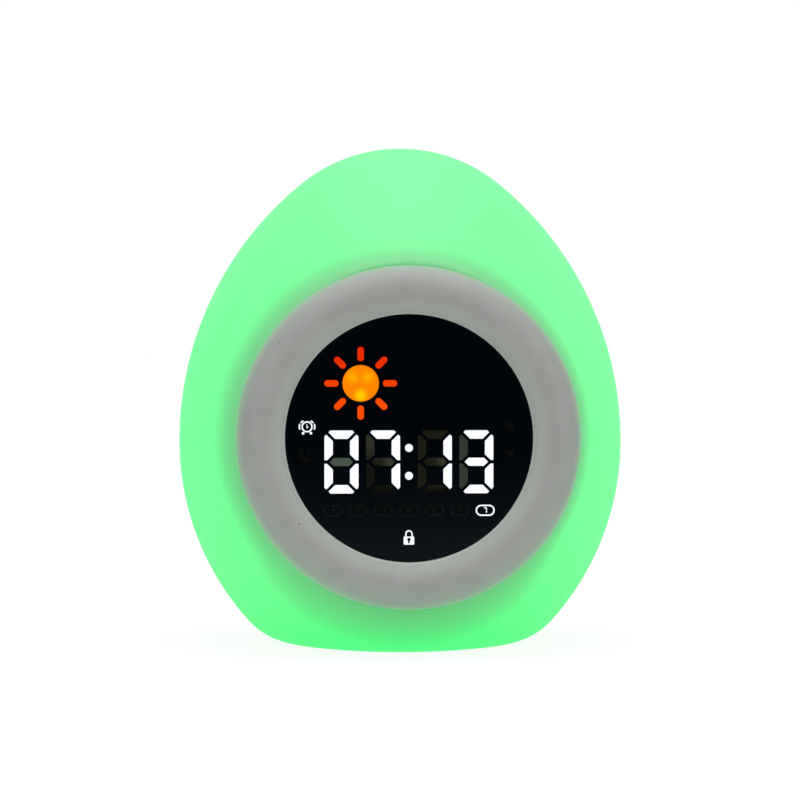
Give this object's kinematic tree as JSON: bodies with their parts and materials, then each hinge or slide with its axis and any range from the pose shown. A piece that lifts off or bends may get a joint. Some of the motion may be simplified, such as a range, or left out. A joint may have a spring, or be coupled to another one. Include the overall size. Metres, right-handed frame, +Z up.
{
  "type": "kids alarm clock with night light",
  "caption": "Egg-shaped alarm clock with a translucent glowing shell, a round LED display in a soft grey ring, rear push buttons and a flat base.",
  "frame": {"origin": "on the egg's axis, in the plane of the surface it rests on", "axes": "+Z up along the egg's axis, the display faces -Y, +X to the right of someone reading it"},
  "size_m": [0.105, 0.1002, 0.1178],
  "materials": {
    "button_grey": "fine matte",
    "lit_white": "glowing diffuser",
    "cover_white": "fine matte",
    "steel_screw": "zinc",
    "cell_wrap": "shrink sleeve",
    "white_plastic": "moulded",
    "black_lead": "insulation",
    "red_lead": "insulation",
    "chip_black": "moulded package",
    "unlit_segment": "unlit diffuser",
    "glow_shell": "translucent satin diffuser",
    "circuit_board": "solder mask",
    "ribbon": "flat cable",
    "smoked_window": "smoked gloss",
    "foot_silicone": "matte",
    "ring_grey": "fine matte",
    "grey_lead": "insulation",
    "led_body": "phosphor lens",
    "switch_black": "moulded",
    "black_print": "matte print",
    "white_board": "white solder mask",
    "paper": "pressed paper",
    "speaker_steel": "black",
    "foam": "foam",
    "magnet_steel": "plated",
    "lit_amber": "glowing diffuser",
    "lit_orange": "glowing diffuser",
    "copper": "foil",
    "spring_steel": "wire",
    "socket_steel": "plated",
    "black_tape": "matte"
  },
  "bodies": {
    "case": {"alarm_icon": "lit_white", "base_plate": "cover_white", "base_screws": "steel_screw", "battery_cell": "cell_wrap", "battery_cradle": "white_plastic", "battery_lead_black": "black_lead", "battery_lead_red": "red_lead", "board_screws": "steel_screw", "carrier_screws": "steel_screw", "chassis": "white_plastic", "colon_dots": "lit_white", "control_chips": "chip_black", "day_mark_lit": "lit_white", "day_marks_unlit": "unlit_segment", "diffuser_shell": "glow_shell", "digits_lit": "lit_white", "digits_unlit": "unlit_segment", "display_board": "circuit_board", "display_carrier": "white_plastic", "display_ribbon": "ribbon", "display_window": "smoked_window", "foot_ring": "foot_silicone", "front_bezel": "ring_grey", "glow_leads": "grey_lead", "glow_leds": "led_body", "half_day_dots": "unlit_segment", "key_switch_bodies": "switch_black", "light_box": "white_plastic", "main_board": "circuit_board", "mask_plate": "black_print", "moon_icon": "unlit_segment", "padlock_icon": "lit_white", "power_switch_body": "switch_black", "rear_cover": "cover_white", "rear_screws": "steel_screw", "reset_switch_body": "switch_black", "segment_leds": "led_body", "side_glow_boards": "white_board", "speaker_frame": "speaker_steel", "speaker_gasket": "foam", "speaker_leads": "grey_lead", "speaker_magnet": "magnet_steel", "sun_disc": "lit_amber", "sun_rays": "lit_orange", "top_glow_board": "white_board", "touch_plate": "copper", "touch_spring": "spring_steel", "usb_socket": "socket_steel", "window_tape": "black_tape"},
    "alarm_button": {"alarm_button": "button_grey"},
    "light_button": {"light_button": "button_grey"},
    "nap_button": {"nap_button": "button_grey"},
    "time_button": {"time_button": "button_grey"},
    "volume_down_button": {"volume_down_button": "button_grey"},
    "volume_up_button": {"volume_up_button": "button_grey"},
    "reset_plunger": {"reset_plunger": "white_plastic"},
    "power_knob": {"power_switch_knob": "button_grey"},
    "speaker_cone": {"speaker_cone": "paper"}
  },
  "joints": [
    {"name": "alarm_press", "type": "slide", "parent": "case", "child": "alarm_button", "axis": [0, -1, 0], "range_m": [0, 0.0006], "stiffness_N_per_m": 1500, "springref_m": -0.0003},
    {"name": "light_press", "type": "slide", "parent": "case", "child": "light_button", "axis": [0, -1, 0], "range_m": [0, 0.0006], "stiffness_N_per_m": 1500, "springref_m": -0.0003},
    {"name": "nap_press", "type": "slide", "parent": "case", "child": "nap_button", "axis": [0, -1, 0], "range_m": [0, 0.0006], "stiffness_N_per_m": 1500, "springref_m": -0.0003},
    {"name": "time_press", "type": "slide", "parent": "case", "child": "time_button", "axis": [0, -1, 0], "range_m": [0, 0.0006], "stiffness_N_per_m": 1500, "springref_m": -0.0003},
    {"name": "volume_down_press", "type": "slide", "parent": "case", "child": "volume_down_button", "axis": [0, -1, 0], "range_m": [0, 0.0006], "stiffness_N_per_m": 1500, "springref_m": -0.0003},
    {"name": "volume_up_press", "type": "slide", "parent": "case", "child": "volume_up_button", "axis": [0, -1, 0], "range_m": [0, 0.0006], "stiffness_N_per_m": 1500, "springref_m": -0.0003},
    {"name": "reset_press", "type": "slide", "parent": "case", "child": "reset_plunger", "axis": [0, -1, 0], "range_m": [0, 0.00025], "stiffness_N_per_m": 1500, "springref_m": -0.0003},
    {"name": "power_slide", "type": "slide", "parent": "case", "child": "power_knob", "axis": [1, 0, 0], "range_m": [0, 0.003]},
    {"name": "cone_travel", "type": "slide", "parent": "case", "child": "speaker_cone", "axis": [0, 0, 1], "range_m": [-0.0004, 0.0004], "stiffness_N_per_m": 1500}
  ]
}
